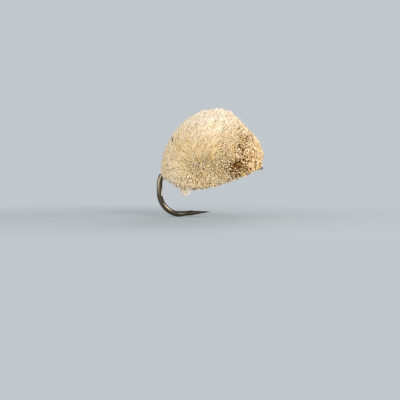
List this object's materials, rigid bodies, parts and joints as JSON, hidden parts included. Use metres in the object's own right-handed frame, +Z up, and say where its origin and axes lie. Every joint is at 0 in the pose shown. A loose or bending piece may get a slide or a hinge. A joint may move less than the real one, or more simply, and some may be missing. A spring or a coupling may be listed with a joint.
{
  "type": "dry fly",
  "caption": "Floating fishing fly: a ring-eyed hook under a dome of flared, clipped deer hair, cream behind and brown in front, with a flat underside.",
  "frame": {"origin": "centre of the hook's eye", "axes": "+X along the shank from the bend to the eye, +Z up from the hook's point to the top of the hair dome, Y across the hook; the eye's hole runs along Z"},
  "size_m": [0.0177, 0.014, 0.0178],
  "materials": {
    "hook_wire": "gloss",
    "thread": "satin",
    "cream_hair": "satin",
    "crust_hair": "satin",
    "varnish": "gloss"
  },
  "bodies": {
    "root": {"hook": "hook_wire", "thread_base": "thread", "cream_bundle_1": "cream_hair", "thread_band_1": "thread", "cream_bundle_2": "cream_hair", "thread_band_2": "thread", "cream_bundle_3": "cream_hair", "thread_band_3": "thread", "cream_bundle_4": "cream_hair", "thread_band_4": "thread", "cream_bundle_5": "cream_hair", "thread_band_5": "thread", "cream_bundle_6": "cream_hair", "thread_band_6": "thread", "cream_bundle_7": "cream_hair", "thread_band_7": "thread", "crust_bundle_1": "crust_hair", "thread_band_8": "thread", "crust_bundle_2": "crust_hair", "thread_band_9": "thread", "crust_bundle_3": "crust_hair", "thread_band_10": "thread", "whip_finish": "thread", "head_varnish": "varnish"}
  },
  "joints": []
}
